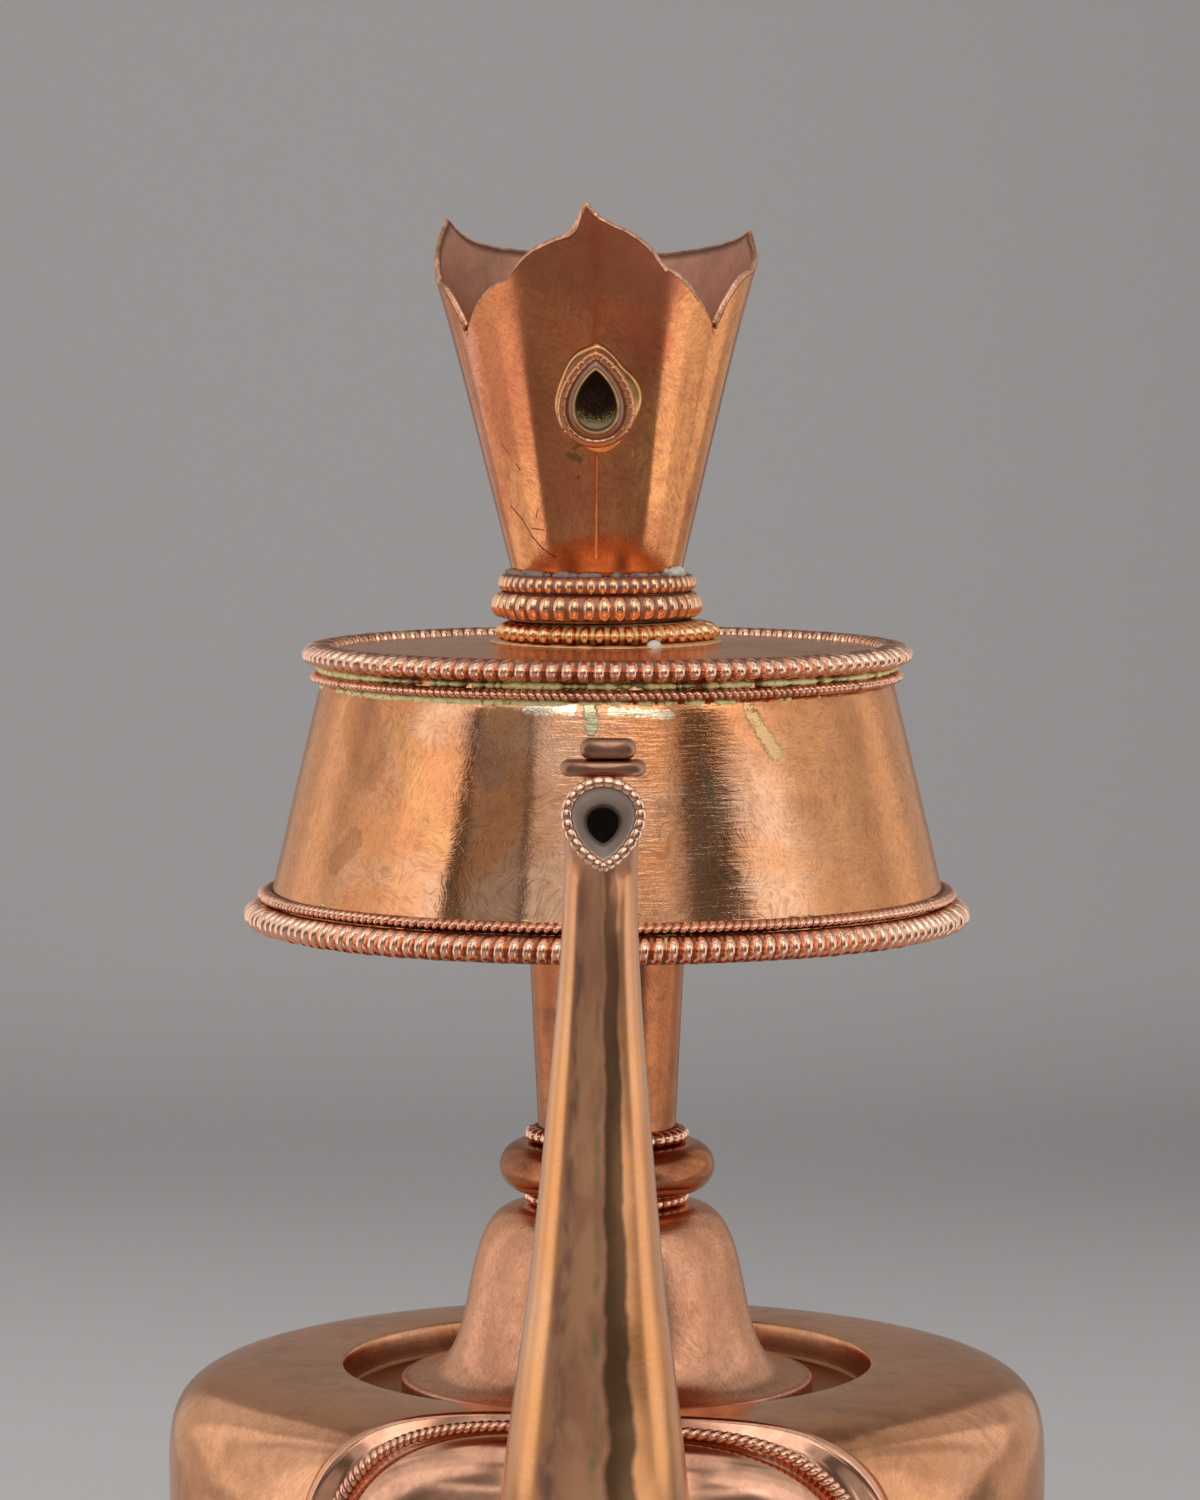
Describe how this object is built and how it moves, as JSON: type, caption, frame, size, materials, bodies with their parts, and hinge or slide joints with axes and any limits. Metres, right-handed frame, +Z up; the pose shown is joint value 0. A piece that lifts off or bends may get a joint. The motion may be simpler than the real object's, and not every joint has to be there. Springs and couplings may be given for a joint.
{
  "type": "ritual water vase",
  "caption": "Tall-necked ritual water vase of sheet copper with a wide flat-shouldered belly, an S-curved spout, a beaded drum collar and a lift-out petalled crown.",
  "frame": {"origin": "middle of the flat base that the vase stands on", "axes": "+Z up the vase's axis, the spout points along -Y, +X to the right seen from the spout's side"},
  "size_m": [0.1048, 0.1592, 0.2178],
  "materials": {
    "polished_copper": "polished and rubbed copper, softly reflecting, with dark specks",
    "dark_copper": "aged copper, bright on its high points and dark in its grooves",
    "spout_copper": "duller golden brown copper with a soldered seam",
    "soldered_brass": "copper flooded with yellow brass solder"
  },
  "bodies": {
    "vase": {"foot_ring": "polished_copper", "belly_bowl": "polished_copper", "belly_shoulder": "polished_copper", "medallion_plate": "polished_copper", "neck_flange": "polished_copper", "neck_bell": "polished_copper", "knop": "polished_copper", "neck_column": "polished_copper", "drum_wall": "polished_copper", "drum_top_disc": "polished_copper", "base_plate": "dark_copper", "foot_beaded_wire": "dark_copper", "waist_beaded_wire": "dark_copper", "medallion_rope_wire": "dark_copper", "spout_mouth_wire": "dark_copper", "spout_finial_bar": "dark_copper", "spout_finial_scroll": "dark_copper", "knop_lower_wire": "dark_copper", "knop_upper_wire": "dark_copper", "drum_underside": "dark_copper", "drum_lower_wire": "dark_copper", "drum_lower_trim": "dark_copper", "drum_upper_trim": "dark_copper", "drum_upper_wire": "dark_copper", "socket_tube": "dark_copper", "spout_tube": "spout_copper", "socket_beaded_ring": "soldered_brass"},
    "crown": {"crown_stem": "dark_copper", "crown_collar": "dark_copper", "crown_middle_wire": "dark_copper", "crown_top_wire": "dark_copper", "crown_cup": "polished_copper", "gem_plate": "soldered_brass", "gem_rope": "dark_copper", "gem_bezel": "soldered_brass"}
  },
  "joints": [
    {"name": "crown_lift", "type": "slide", "parent": "vase", "child": "crown", "axis": [0, 0, 1], "range_m": [0, 0.03]}
  ]
}
